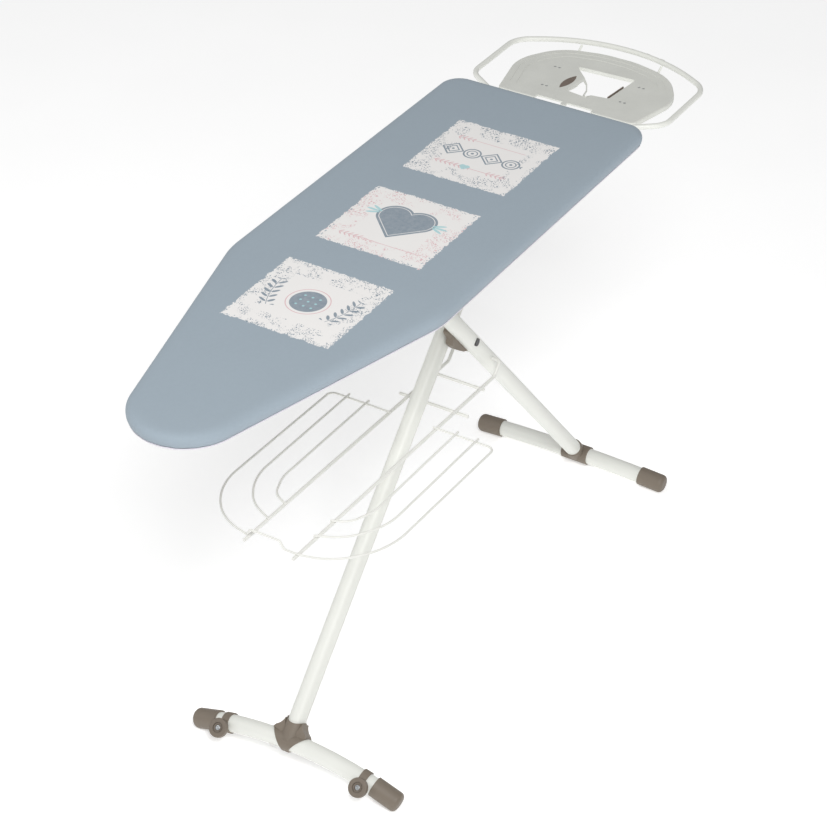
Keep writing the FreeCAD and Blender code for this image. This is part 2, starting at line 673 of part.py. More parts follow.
def rear_leg_point(distance):
    """Point on the rear leg's axis, measured up from its foot."""
    return leg_point(REAR_HUB, REAR_UP, -LEG_SIDE_OFFSET, distance)


FRONT_LOWER = math.hypot(PIVOT.x - FRONT_HUB.x, PIVOT.z - FRONT_HUB.z)
REAR_LOWER = math.hypot(PIVOT.x - REAR_HUB.x, PIVOT.z - REAR_HUB.z)
LEG_TUBE_START = LEG_RADIUS + 1.2
LEG_TOP_OVERRUN = 14.0
BOLT_RADIUS = 4.0
HOOK_RADIUS = ROD_RADIUS + FIT_GAP
BASKET_HOOK = rear_leg_point(REAR_LOWER - BASKET_HOOK_ALONG)


def leg_tube(point_on_leg, lower, upper):
    """Leg tube with the hole for the crossing bolt."""
    start = point_on_leg(LEG_TUBE_START)
    end = point_on_leg(lower + upper + LEG_TOP_OVERRUN)
    return tube(start, end, LEG_RADIUS, LEG_RADIUS - LEG_WALL)


def front_leg_tube():
    leg = leg_tube(front_leg_point, FRONT_LOWER, FRONT_UPPER)
    return leg.cut(rod(PIVOT - Y_AXIS * 60, PIVOT + Y_AXIS * 60, BOLT_RADIUS + FIT_GAP))


def rear_leg_tube():
    leg = leg_tube(rear_leg_point, REAR_LOWER, REAR_UPPER)
    leg = leg.cut(rod(rear_leg_point(REAR_LOWER), PIVOT + Y_AXIS * 60, BOLT_RADIUS + FIT_GAP))
    hook = V(BASKET_HOOK.x, 0, BASKET_HOOK.z)
    return leg.cut(rod(hook - Y_AXIS * 60, hook + Y_AXIS * 60, HOOK_RADIUS))


def top_bracket(point_on_leg, lower, upper, up, normal):
    """Two cheek plates that tie the crossbar to the top of a leg."""
    cheek = 2.0
    axis_point = point_on_leg(lower + upper)
    flat = V(axis_point.x, 0, axis_point.z)
    reach = LEG_RADIUS + 1.0
    outline = [
        flat - up * 34 - normal * 8,
        flat + up * 12 - normal * 8,
        flat + up * 12 + normal * (CROSSBAR_RISE + 4),
        flat + up * 6 + normal * (CROSSBAR_RISE + 10),
        flat - up * 6 + normal * (CROSSBAR_RISE + 10),
        flat - up * 34 + normal * 12,
    ]
    pin = flat + normal * CROSSBAR_RISE
    bore = rod(pin - Y_AXIS * 200, pin + Y_AXIS * 200, CROSSBAR_RADIUS)
    cheeks = []
    for side in (-1, 1):
        middle = Y_AXIS * (axis_point.y + side * (reach + cheek / 2.0))
        plate = along_profile([p + middle for p in outline], Y_AXIS, cheek)
        cheeks.append(plate.cut(bore))
    return one_node(cheeks)


def front_leg_bracket():
    return top_bracket(front_leg_point, FRONT_LOWER, FRONT_UPPER, FRONT_UP, FRONT_NORMAL)


def rear_leg_bracket():
    return top_bracket(rear_leg_point, REAR_LOWER, REAR_UPPER, REAR_UP, REAR_NORMAL)


def crossbar(pin, half):
    """Tube across the top of a leg."""
    return tube(V(pin.x, -half, pin.z), V(pin.x, half, pin.z), CROSSBAR_RADIUS, CROSSBAR_RADIUS - 1.5)


def rear_runners():
    """Plastic bushes on the rear crossbar, running in the rail slots."""
    width = 8.0
    bushes = []
    for side in (-1, 1):
        start = V(REAR_PIN.x, side * (RAIL_Y - width / 2.0), CROSSBAR_Z)
        end = V(REAR_PIN.x, side * (RAIL_Y + width / 2.0), CROSSBAR_Z)
        bushes.append(tube(start, end, RUNNER_RADIUS, CROSSBAR_RADIUS))
    return one_node(bushes)


def leg_end_plugs(point_on_leg, lower, upper):
    """Plastic plug in the open top of a leg."""
    end = point_on_leg(lower + upper + LEG_TOP_OVERRUN)
    direction = (end - point_on_leg(0)).normalize()
    head = rod(end, end + direction * 2.5, LEG_RADIUS)
    stem = rod(end - direction * 14, end, LEG_RADIUS - LEG_WALL)
    return head.fuse(stem)


def arch_point(foot, arch_radius, y):
    """Point on the arched axis of a foot tube, at a distance y from its middle."""
    drop = arch_radius - math.sqrt(arch_radius ** 2 - y ** 2)
    return V(foot.x, foot.y + y, foot.z - drop)


def arch_wire(foot, arch_radius, half):
    """Arched axis of a foot tube between -half and +half."""
    ends = [arch_point(foot, arch_radius, y) for y in (-half, 0.0, half)]
    return Part.Wire(Part.Arc(*ends).toShape())


def foot_tube(foot, arch_radius):
    """Arched tube of a foot."""
    path = arch_wire(foot, arch_radius, FOOT_TUBE_HALF)
    return swept_bar(path, LEG_RADIUS).cut(swept_bar(path, LEG_RADIUS - LEG_WALL))


def foot_cap(foot, arch_radius, side):
    """Rounded end cap, cut flat where it stands on the floor."""
    start_y = FOOT_CAP_END - FOOT_CAP_LENGTH
    middle_y = side * (start_y + FOOT_CAP_END) / 2.0
    centre = arch_point(foot, arch_radius, middle_y)
    slope = abs(middle_y) / math.sqrt(arch_radius ** 2 - middle_y ** 2)
    outwards = V(0, side, -slope).normalize()
    start = centre - outwards * (FOOT_CAP_LENGTH / 2.0)
    end = centre + outwards * (FOOT_CAP_LENGTH / 2.0)
    cap = rod(start, end, FOOT_CAP_RADIUS)
    rim = [e for e in cap.Edges if e.Curve.TypeId == "Part::GeomCircle"]
    cap = cap.makeFillet(9.0, [e for e in rim if (e.Curve.Center - end).Length < 1e-3])
    cap = cap.cut(swept_bar(arch_wire(foot, arch_radius, FOOT_TUBE_HALF + 0.1), LEG_RADIUS + FIT_GAP))
    floor_block = box(V(foot.x - 60, -300, -60), V(foot.x + 60, 300, 0))
    return cap.cut(floor_block)


def hub_plane_point(hub, up, y, along):
    """Point in the plane of a foot and its leg."""
    return V(hub.x, hub.y + y, hub.z) + up * along


def front_hub():
    """T-fitting that joins the front leg to its foot tube."""
    sleeve = 18.6
    half_top = 34.0
    half_bottom = 5.0
    rim_height = 41.0
    centre = FRONT_HUB
    offset = FRONT_HUB_Y - FRONT_FOOT_Y
    sleeve_ends = [arch_point(FRONT_FOOT, FRONT_ARCH_RADIUS, offset + y) for y in (-half_top, half_top)]
    body = rod(sleeve_ends[0], sleeve_ends[1], sleeve)
    leg_direction = (front_leg_point(100) - front_leg_point(0)).normalize()
    body = body.fuse(rod(centre, centre + leg_direction * rim_height, sleeve))
    # Webs in the corners between the two sleeves.
    for side in (-1, 1):
        corner = [
            hub_plane_point(centre, FRONT_UP, side * 10.0, 10.0),
            hub_plane_point(centre, FRONT_UP, side * half_top, 14.0),
            hub_plane_point(centre, FRONT_UP, side * 18.0, rim_height - 2),
        ]
        web = along_profile(corner, FRONT_NORMAL, 26.0)
        hollow_centre = hub_plane_point(centre, FRONT_UP, side * 42.0, 42.0)
        hollow = rod(hollow_centre - FRONT_NORMAL * 40, hollow_centre + FRONT_NORMAL * 40, 25.0)
        body = body.fuse(web.cut(hollow))
    # The lower edges of the sleeve slant in to a point under the foot.
    for side in (-1, 1):
        outline = [
            hub_plane_point(centre, FRONT_UP, side * half_bottom, -sleeve - 1),
            hub_plane_point(centre, FRONT_UP, side * (half_top + 1), sleeve - 2),
            hub_plane_point(centre, FRONT_UP, side * (half_top + 30), sleeve - 2),
            hub_plane_point(centre, FRONT_UP, side * (half_top + 30), -sleeve - 1),
        ]
        body = body.cut(along_profile(outline, FRONT_NORMAL, 80.0))
    # Dip in the rim of the leg socket.
    dip_centre = hub_plane_point(centre, FRONT_UP, 0, rim_height + 16)
    body = body.cut(rod(dip_centre - FRONT_NORMAL * 40, dip_centre + FRONT_NORMAL * 40, 25.0))
    body = body.cut(swept_bar(arch_wire(FRONT_FOOT, FRONT_ARCH_RADIUS, 80), LEG_RADIUS + FIT_GAP))
    body = body.cut(rod(front_leg_point(LEG_RADIUS), front_leg_point(80), LEG_RADIUS + FIT_GAP))
    return body.removeSplitter()


def rear_hub():
    """Sleeve that joins the rear leg to its foot tube."""
    sleeve = 18.6
    half = 28.0
    centre = REAR_HUB
    body = rod(centre - Y_AXIS * half, centre + Y_AXIS * half, sleeve)
    leg_direction = (rear_leg_point(100) - rear_leg_point(0)).normalize()
    body = body.fuse(rod(centre, centre + leg_direction * 34.0, sleeve))
    body = body.cut(swept_bar(arch_wire(REAR_FOOT, REAR_ARCH_RADIUS, 80), LEG_RADIUS + FIT_GAP))
    body = body.cut(rod(rear_leg_point(LEG_RADIUS), rear_leg_point(80), LEG_RADIUS + FIT_GAP))
    return body.removeSplitter()


def pivot_spacer():
    """Plastic saddle on the rear leg that keeps the two legs apart."""
    outline = [
        PIVOT - REAR_UP * 60 - REAR_NORMAL * 12,
        PIVOT - REAR_UP * 38 - REAR_NORMAL * 23,
        PIVOT - REAR_UP * 8 - REAR_NORMAL * 30,
        PIVOT + REAR_UP * 14 - REAR_NORMAL * 30,
        PIVOT + REAR_UP * 22 - REAR_NORMAL * 21,
        PIVOT + REAR_UP * 44 - REAR_NORMAL * 18,
        PIVOT + REAR_UP * 44 + REAR_NORMAL * 9,
        PIVOT - REAR_UP * 60 + REAR_NORMAL * 9,
    ]
    wire = rounded_wire(outline, [5.0] * len(outline), closed=True)
    face = Part.Face(wire)
    face.translate(Y_AXIS * -20.0)
    block = face.extrude(Y_AXIS * 19.8)
    grip = rod(rear_leg_point(REAR_LOWER - 120), rear_leg_point(REAR_LOWER + 120), LEG_RADIUS + FIT_GAP)
    half_depth = box(V(PIVOT.x - 120, -60, PIVOT.z - 120), V(PIVOT.x + 120, -14, PIVOT.z + 120))
    bolt = rod(PIVOT - Y_AXIS * 60, PIVOT + Y_AXIS * 60, BOLT_RADIUS + FIT_GAP)
    return block.cut(grip).cut(half_depth).cut(bolt)


def pivot_bolt():
    """Pin through both legs at the crossing: collar inside the rear tube, nut outside the front one."""
    collar_radius = 8.0
    washer_radius = 10.0
    nut_radius = 7.5
    collar_y = -LEG_SIDE_OFFSET + 4.0
    far = LEG_SIDE_OFFSET + LEG_RADIUS + 2.0 * CLEAR_GAP
    shank = rod(PIVOT + Y_AXIS * collar_y, PIVOT + Y_AXIS * (far + 8.5), BOLT_RADIUS)
    collar = rod(PIVOT + Y_AXIS * collar_y, PIVOT + Y_AXIS * (collar_y + 4.0), collar_radius)
    washer = rod(PIVOT + Y_AXIS * far, PIVOT + Y_AXIS * (far + 1.5), washer_radius)
    corners = []
    for index in range(6):
        angle = math.radians(60 * index)
        corners.append(PIVOT + V(nut_radius * math.cos(angle), far + 1.5, nut_radius * math.sin(angle)))
    nut = Part.Face(Part.makePolygon(corners + [corners[0]])).extrude(Y_AXIS * 5.5)
    return shank.fuse([collar, washer, nut]).removeSplitter()


def badge_plug():
    """Plain round plug in the side of the rear leg, just below the crossing."""
    along = REAR_LOWER - 33.0
    centre = rear_leg_point(along) - Y_AXIS * (LEG_RADIUS + 1.2)
    face = Part.Face(Part.Wire(Part.makeCircle(7.4)))
    plug = face.extrude(V(0, 0, 6.0))
    to_side = FreeCAD.Rotation(V(1, 0, 0), -90)
    tilt = FreeCAD.Rotation(Y_AXIS, -90 + 8)
    plug.Placement = FreeCAD.Placement(centre, tilt.multiply(to_side))
    inside = rod(rear_leg_point(along - 40), rear_leg_point(along + 40), LEG_RADIUS + 0.01)
    return plug.cut(inside).Solids[0]


# ---------------------------------------------------------------------------
# Wheels on the front foot.
# ---------------------------------------------------------------------------
WHEEL_AXIS = FRONT_NORMAL


def wheel_centre(side):
    """Centre of a wheel: ahead of the foot tube, and below it when folded."""
    on_tube = arch_point(FRONT_FOOT, FRONT_ARCH_RADIUS, side * WHEEL_Y)
    return on_tube + WHEEL_AXIS * WHEEL_OUT - FRONT_UP * WHEEL_DOWN


def wheel(side):
    """Small wheel with a raised rim and a recessed centre."""
    centre = wheel_centre(side)
    half = WHEEL_WIDTH / 2.0
    body = rod(centre - WHEEL_AXIS * half, centre + WHEEL_AXIS * half, WHEEL_RADIUS)
    circles = [e for e in body.Edges if e.Curve.TypeId == "Part::GeomCircle"]
    body = body.makeFillet(1.6, circles)
    recess = rod(centre + WHEEL_AXIS * (half - 2.5), centre + WHEEL_AXIS * (half + 1), 9.6)
    body = body.cut(recess)
    boss = tube(centre + WHEEL_AXIS * (half - 2.6), centre + WHEEL_AXIS * (half - 0.8), 7.6, 5.6)
    body = body.fuse(boss)
    bore = rod(centre - WHEEL_AXIS * 20, centre + WHEEL_AXIS * 20, AXLE_RADIUS + FIT_GAP)
    return body.cut(bore)


def wheel_clip(side):
    """Ring clipped round the foot tube, with the arm that carries the wheel."""
    centre = arch_point(FRONT_FOOT, FRONT_ARCH_RADIUS, side * WHEEL_CLIP_Y)
    slope = WHEEL_CLIP_Y / math.sqrt(FRONT_ARCH_RADIUS ** 2 - WHEEL_CLIP_Y ** 2)
    outwards = V(0, side, -slope).normalize()
    ring = rod(centre - outwards * 7.0, centre + outwards * 7.0, 18.5)
    hub_centre = wheel_centre(side)
    face = hub_centre - WHEEL_AXIS * (WHEEL_WIDTH / 2.0 + 0.4)
    boss = rod(face - WHEEL_AXIS * 8.0, face, 6.5)
    foot = centre + WHEEL_AXIS * 14.0 - FRONT_UP * 6.0
    arm_end = face - WHEEL_AXIS * 4.0
    arm = rod(foot, arm_end, 3.6)
    shape = ring.fuse([arm, boss])
    shape = shape.cut(swept_bar(arch_wire(FRONT_FOOT, FRONT_ARCH_RADIUS, FOOT_TUBE_HALF), LEG_RADIUS + FIT_GAP))
    cap_start = arch_point(FRONT_FOOT, FRONT_ARCH_RADIUS, side * (FOOT_CAP_END - FOOT_CAP_LENGTH - 3.0))
    cap_space = rod(cap_start, cap_start + outwards * 60, FOOT_CAP_RADIUS + 0.6)
    shape = shape.cut(cap_space)
    screw_hole = rod(face - WHEEL_AXIS * 6.0, face + WHEEL_AXIS * 2, AXLE_RADIUS)
    return shape.cut(screw_hole).Solids[0]


def wheel_axles():
    """Shouldered screws that the wheels turn on."""
    screws = []
    for side in (-1, 1):
        centre = wheel_centre(side)
        half = WHEEL_WIDTH / 2.0
        face = centre - WHEEL_AXIS * (half + 0.4)
        seat = centre + WHEEL_AXIS * (half - 2.2)
        shank = rod(face - WHEEL_AXIS * 6.0, seat, AXLE_RADIUS)
        head = rod(seat, seat + WHEEL_AXIS * 2.0, 4.6)
        head = head.makeFillet(1.0, [e for e in head.Edges if (e.BoundBox.Center - seat).Length > 1.5][:1])
        recess = rod(seat + WHEEL_AXIS * 1.0, seat + WHEEL_AXIS * 4.0, 1.8)
        screws.append(shank.fuse(head).cut(recess))
    return one_node(screws)


# ---------------------------------------------------------------------------
# Laundry basket. It is drawn flat, with the hook at the origin, then placed.
# ---------------------------------------------------------------------------
RODS_Y = 48.0
BASKET_FRONT_X = -666.0
BASKET_BACK_X = -229.0
BASKET_HALF_WIDTH = 168.0
WIRE_OVER_ROD = ROD_RADIUS + WIRE_RADIUS - WELD_SINK


def place_basket(shape):
    """Put a flat-drawn basket piece at the hook, with the basket's tilt."""
    turn = FreeCAD.Rotation(Y_AXIS, BASKET_TILT)
    shape.Placement = FreeCAD.Placement(V(BASKET_HOOK.x, 0, BASKET_HOOK.z), turn)
    return shape


def basket_rods():
    """Two long rods; their back ends rise and turn in to the rear leg."""
    rods = []
    for side in (-1, 1):
        leg_wall = BASKET_HOOK.y + side * (LEG_RADIUS - LEG_WALL - 3.0)
        points = [
            V(BASKET_FRONT_X - 9.0, side * RODS_Y, -BASKET_DROP),
            V(-20.0, side * RODS_Y, -BASKET_DROP),
            V(0, side * RODS_Y, 0),
            V(0, leg_wall, 0),
        ]
        rods.append(place_basket(swept_bar(rounded_wire(points, [12.0, 6.0]), ROD_RADIUS)))
    return one_node(rods)


def basket_outer_wire():
    """Outer wire: back rails, side rails, front curve and the raised middle."""
    level = WIRE_OVER_ROD - BASKET_DROP
    raised = level + 14.0
    step_left = 41.0
    step_right = -16.0
    step_run = 9.0
    x = BASKET_FRONT_X
    points = [
        V(BASKET_BACK_X, RODS_Y - 4.0, level),
        V(BASKET_BACK_X, BASKET_HALF_WIDTH, level),
        V(x + 86.0, BASKET_HALF_WIDTH, level),
        V(x + 14.0, 104.0, level),
        V(x + 2.0, step_left + step_run, level),
        V(x, step_left, raised),
        V(x, step_right, raised),
        V(x, step_right - step_run, level),
        V(x + 1.0, -56.0, level),
        V(x + 14.0, -104.0, level),
        V(x + 86.0, -BASKET_HALF_WIDTH, level),
        V(BASKET_BACK_X, -BASKET_HALF_WIDTH, level),
        V(BASKET_BACK_X, -RODS_Y + 4.0, level),
    ]
    radii = [13.0, 150.0, 120.0, 5.0, 5.0, 5.0, 5.0, 60.0, 110.0, 150.0, 13.0]
    return place_basket(swept_bar(rounded_wire(points, radii), WIRE_RADIUS))


def basket_inner_wires():
    """Four inner wires, each bent from the back rail round to a long rod."""
    front_level = WIRE_OVER_ROD - BASKET_DROP
    back_level = front_level + 2.0 * WIRE_RADIUS - WELD_SINK
    wires = []
    inner_wires = (
        (132.0, (-524.0, 132.0), (-587.0, 91.0), -609.0, [140.0, 96.0]),
        (91.7, (-498.0, 91.7), (-545.0, 74.0), -559.0, [90.0, 40.0]),
    )
    for wire_y, first_bend, second_bend, end_x, radii in inner_wires:
        for side in (-1, 1):
            points = [
                V(BASKET_BACK_X + 6.0, side * wire_y, back_level),
                V(first_bend[0], side * first_bend[1], front_level),
                V(second_bend[0], side * second_bend[1], front_level),
                V(end_x, side * (RODS_Y - 4.0), front_level),
            ]
            wires.append(place_basket(swept_bar(rounded_wire(points, radii), WIRE_RADIUS)))
    return one_node(wires)


def basket_crossbars():
    """Two cross rods under the long rods; one stands out at both sides."""
    level = -BASKET_DROP - 2.0 * ROD_RADIUS + WELD_SINK
    bars = []
    for x, half in ((-152.0, 71.0), (-61.0, RODS_Y + 3.0)):
        bars.append(place_basket(rod(V(x, -half, level), V(x, half, level), ROD_RADIUS)))
    return one_node(bars)


# ---------------------------------------------------------------------------
# Build every node.
# ---------------------------------------------------------------------------
def build():
    os.makedirs("parts", exist_ok=True)
    save(cover(), "cover")
    save(felt_pad(), "felt_pad")
    save(hem_elastic(), "hem_elastic")
    save(mesh_top(), "mesh_top")
    save(rim_frame(), "rim_frame")
    save(cross_members(), "cross_members")
    rail = slide_rail()
    save(rail, "slide_rail_right")
    save(mirrored(rail), "slide_rail_left")
    save(rail_rivets(), "rail_rivets")
    save(height_lever(), "height_lever")
    save(lever_grip(), "lever_grip")
    save(lever_bracket(), "lever_bracket")
    save(lever_pin(), "lever_pin")
    save(rest_loop(), "rest_loop")
    save(rest_support_wires(), "rest_support_wires")
    save(hanger_wire(), "hanger_wire")
    save(rest_clamps(), "rest_clamps")
    save(rest_tray(), "rest_tray")
    save(tray_screws(), "tray_screws")
    save(tray_leaf_insert(), "tray_leaf_insert")
    save(tray_edge_strip(), "tray_edge_strip")
    save(front_leg_tube(), "front_leg_tube")
    save(front_leg_bracket(), "front_leg_bracket")
    save(crossbar(FRONT_PIN, CROSSBAR_HALF), "front_crossbar")
    save(leg_end_plugs(front_leg_point, FRONT_LOWER, FRONT_UPPER), "front_leg_plug")
    save(front_hub(), "front_hub")
    save(foot_tube(FRONT_FOOT, FRONT_ARCH_RADIUS), "front_foot_tube")
    save(rear_leg_tube(), "rear_leg_tube")
    save(rear_leg_bracket(), "rear_leg_bracket")
    save(crossbar(REAR_PIN, CROSSBAR_HALF), "rear_crossbar")
    save(leg_end_plugs(rear_leg_point, REAR_LOWER, REAR_UPPER), "rear_leg_plug")
    save(rear_runners(), "rear_runners")
    save(rear_hub(), "rear_hub")
    save(foot_tube(REAR_FOOT, REAR_ARCH_RADIUS), "rear_foot_tube")
    for side, word in ((1, "left"), (-1, "right")):
        save(foot_cap(FRONT_FOOT, FRONT_ARCH_RADIUS, side), "front_cap_" + word)
        save(foot_cap(REAR_FOOT, REAR_ARCH_RADIUS, side), "rear_cap_" + word)
        save(wheel_clip(side), "wheel_clip_" + word)
        save(wheel(side), "wheel_" + word)
    save(wheel_axles(), "wheel_axles")
    save(pivot_spacer(), "pivot_spacer")
    save(pivot_bolt(), "pivot_bolt")
    save(badge_plug(), "badge_plug")
    save(basket_rods(), "basket_rods")
    save(basket_outer_wire(), "basket_outer_wire")
    save(basket_inner_wires(), "basket_inner_wires")
    save(basket_crossbars(), "basket_crossbars")


build()
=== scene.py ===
import json
import math

import bmesh
import bpy
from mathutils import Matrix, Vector, noise


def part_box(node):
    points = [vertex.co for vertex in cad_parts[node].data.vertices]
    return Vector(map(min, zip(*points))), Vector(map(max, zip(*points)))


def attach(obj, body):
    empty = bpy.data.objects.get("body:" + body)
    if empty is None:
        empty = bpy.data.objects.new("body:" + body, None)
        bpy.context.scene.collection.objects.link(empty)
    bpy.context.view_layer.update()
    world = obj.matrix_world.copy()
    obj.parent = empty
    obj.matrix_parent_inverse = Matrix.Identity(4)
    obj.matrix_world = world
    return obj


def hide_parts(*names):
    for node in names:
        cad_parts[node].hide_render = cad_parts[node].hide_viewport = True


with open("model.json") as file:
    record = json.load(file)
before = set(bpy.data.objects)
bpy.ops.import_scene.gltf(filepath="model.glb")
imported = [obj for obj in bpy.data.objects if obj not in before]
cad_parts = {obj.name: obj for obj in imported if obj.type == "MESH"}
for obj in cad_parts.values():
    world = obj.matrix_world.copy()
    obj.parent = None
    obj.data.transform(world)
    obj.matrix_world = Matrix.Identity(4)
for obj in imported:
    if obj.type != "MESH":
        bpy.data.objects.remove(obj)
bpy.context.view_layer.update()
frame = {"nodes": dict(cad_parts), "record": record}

MM = 0.001

# ---------------------------------------------------------------------------
# Sizes and places, in metres. The boxes come from the frame; the radii, the
# taper and the prints are design values of the board's outline and its cover.
# ---------------------------------------------------------------------------
COVER_LOW, COVER_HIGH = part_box("cover")
WIDE_END = COVER_HIGH[0]
BOARD_LENGTH = COVER_HIGH[0] - COVER_LOW[0]
BOARD_HALF = COVER_HIGH[1]
TOP_Z = COVER_HIGH[2]
HEM_Z = COVER_LOW[2]
FELT_LOW, FELT_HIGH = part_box("felt_pad")
NOSE_RADIUS = 93 * MM
TAPER = math.radians(15)
KNEE_RADIUS = 150 * MM
CORNER_RADIUS = 40 * MM
OUTLINE_STEP = 5 * MM
HEM_TUCK = 15 * MM
ROUNDED_EDGE_SAVING = 6 * MM
EDGE_ROLL = 19 * MM
CROWN_HEIGHT = 0.5 * MM
CROWN_RINGS = 26
CLOTH_UNEVEN = 0.35 * MM
UNEVEN_SIZE = 0.07
FELT_RINGS = 12

PRINT_CENTRES = (WIDE_END - 248 * MM, WIDE_END - 519.8 * MM, WIDE_END - 789.4 * MM)
PRINT_Y = -3 * MM
PRINT_HALF_X = 97.5 * MM
PRINT_HALF_Y = 99.5 * MM


def srgb(red, green, blue):
    """Linear colour of an 8-bit sRGB one."""
    parts = []
    for value in (red, green, blue):
        share = value / 255
        parts.append(share / 12.92 if share <= 0.04045 else ((share + 0.055) / 1.055) ** 2.4)
    return (*parts, 1.0)


COVER_COLOUR = srgb(157, 170, 180)
PRINT_WHITE = srgb(240, 238, 236)
INK = srgb(128, 143, 156)
PINK = srgb(224, 188, 191)
AQUA = srgb(172, 214, 218)
FLOOR_GLOW = 0.42
HEM_COLOUR = srgb(226, 222, 230)


# ---------------------------------------------------------------------------
# Fields: arithmetic on shader sockets, so that a pattern reads like a formula.
# ---------------------------------------------------------------------------
class Field:
    """A number that varies over the surface, held by a node socket."""

    def __init__(self, tree, socket):
        self.tree = tree
        self.socket = socket

    def apply(self, operation, *others):
        node = self.tree.nodes.new("ShaderNodeMath")
        node.operation = operation
        self.tree.links.new(self.socket, node.inputs[0])
        for index, other in enumerate(others, 1):
            if isinstance(other, Field):
                self.tree.links.new(other.socket, node.inputs[index])
            else:
                node.inputs[index].default_value = other
        return Field(self.tree, node.outputs[0])

    def __add__(self, other):
        return self.apply("ADD", other)

    def __sub__(self, other):
        return self.apply("SUBTRACT", other)

    def __mul__(self, other):
        return self.apply("MULTIPLY", other)

    def abs(self):
        return self.apply("ABSOLUTE")

    def least(self, other):
        return self.apply("MINIMUM", other)

    def most(self, other):
        return self.apply("MAXIMUM", other)

    def repeat(self, pitch):
        """Distance from the nearest of evenly spaced places."""
        return self.apply("PINGPONG", pitch / 2)

    def wrap(self, pitch):
        return self.apply("WRAP", pitch / 2, -pitch / 2)

    def inside(self, soft=0.5 * MM):
        """1 where a signed distance is negative, with a soft edge."""
        node = (self * (-1 / soft)).apply("ADD", 0.5)
        node.socket.node.use_clamp = True
        return node

    def inside_where_positive(self):
        """1 where the value is above zero, with a soft edge."""
        node = (self * 12.0).apply("ADD", 0.3)
        node.socket.node.use_clamp = True
        return node


def length(a, b):
    return (a * a + b * b).apply("SQRT")


def disc(u, v, radius):
    return length(u, v) - radius


def oval(u, v, half_u, half_v):
    return (length(u * (1 / half_u), v * (1 / half_v)) - 1.0) * min(half_u, half_v)


def block(u, v, half_u, half_v):
    return (u.abs() - half_u).most(v.abs() - half_v)


def turned(u, v, angle):
    cosine, sine = math.cos(angle), math.sin(angle)
    return u * cosine + v * sine, v * cosine - u * sine


def heart(u, v, radius):
    """Heart from a square on its point and two discs on its upper sides."""
    offset = radius / math.sqrt(2)
    side = u.abs()
    point = (side + v.abs() - radius * math.sqrt(2)) * (1 / math.sqrt(2))
    return point.least(disc(side - offset, v - offset, radius))


def colour_mix(tree, factor, first, second):
    """Colour socket between two colours or colour sockets."""
    node = tree.nodes.new("ShaderNodeMix")
    node.data_type = "RGBA"
    tree.links.new(factor.socket, node.inputs[0])
    for index, value in ((6, first), (7, second)):
        if isinstance(value, tuple):
            node.inputs[index].default_value = value
        else:
            tree.links.new(value, node.inputs[index])
    return node.outputs[2]


class Surface:
    """A material with its tree, principled shader and object coordinates."""

    def __init__(self, name, roughness):
        self.material = bpy.data.materials.new(name)
        self.material.use_nodes = True
        self.tree = self.material.node_tree
        self.shader = self.tree.nodes["Principled BSDF"]
        self.shader.inputs["Roughness"].default_value = roughness
        self.coordinates = self.tree.nodes.new("ShaderNodeTexCoord").outputs["Object"]
        split = self.tree.nodes.new("ShaderNodeSeparateXYZ")
        self.tree.links.new(self.coordinates, split.inputs[0])
        self.x, self.y, self.z = (Field(self.tree, split.outputs[i]) for i in range(3))

    def noise(self, scale, detail=2.0, roughness=0.5):
        node = self.tree.nodes.new("ShaderNodeTexNoise")
        node.inputs["Scale"].default_value = scale
        node.inputs["Detail"].default_value = detail
        node.inputs["Roughness"].default_value = roughness
        self.tree.links.new(self.coordinates, node.inputs["Vector"])
        return Field(self.tree, node.outputs[0])

    def cells(self, scale):
        """Distance to the nearest random point, and two random numbers of its cell."""
        node = self.tree.nodes.new("ShaderNodeTexVoronoi")
        node.inputs["Scale"].default_value = scale
        self.tree.links.new(self.coordinates, node.inputs["Vector"])
        split = self.tree.nodes.new("ShaderNodeSeparateColor")
        self.tree.links.new(node.outputs["Color"], split.inputs[0])
        return (Field(self.tree, node.outputs["Distance"]), Field(self.tree, split.outputs[0]),
                Field(self.tree, split.outputs[1]))

    def colour(self, value):
        if isinstance(value, tuple):
            self.shader.inputs["Base Color"].default_value = value
        else:
            self.tree.links.new(value, self.shader.inputs["Base Color"])

    def roughness(self, field):
        self.tree.links.new(field.socket, self.shader.inputs["Roughness"])

    def bump(self, field, height, strength=1.0):
        node = self.tree.nodes.new("ShaderNodeBump")
        node.inputs["Distance"].default_value = height
        node.inputs["Strength"].default_value = strength
        self.tree.links.new(field.socket, node.inputs["Height"])
        self.tree.links.new(node.outputs[0], self.shader.inputs["Normal"])


def scaled(colour, factor):
    return (colour[0] * factor, colour[1] * factor, colour[2] * factor, 1.0)


# ---------------------------------------------------------------------------
# Materials.
# ---------------------------------------------------------------------------
def powder_coat(name, colour):
    """Satin powder coat: fine orange peel and faint handling marks."""
    surface = Surface(name, 0.42)
    cloud = surface.noise(9.0, 4.0)
    surface.colour(colour_mix(surface.tree, cloud, scaled(colour, 0.97), scaled(colour, 1.03)))
    marks = surface.noise(55.0, 3.0, 0.7)
    surface.roughness(marks * 0.16 + 0.34)
    surface.bump(surface.noise(1400.0, 2.0), 0.04 * MM, 0.6)
    surface.shader.inputs["Specular IOR Level"].default_value = 0.45
    return surface.material


def moulded_plastic(name, colour, grain, roughness):
    """Moulded plastic with a spark-eroded grain and slight colour drift."""
    surface = Surface(name, roughness)
    cloud = surface.noise(25.0, 3.0)
    surface.colour(colour_mix(surface.tree, cloud, scaled(colour, 0.93), scaled(colour, 1.07)))
    surface.roughness(surface.noise(90.0, 3.0, 0.6) * 0.14 + (roughness - 0.07))
    surface.bump(surface.noise(grain, 2.0, 0.6), 0.05 * MM, 0.7)
    surface.shader.inputs["Specular IOR Level"].default_value = 0.4
    return surface.material


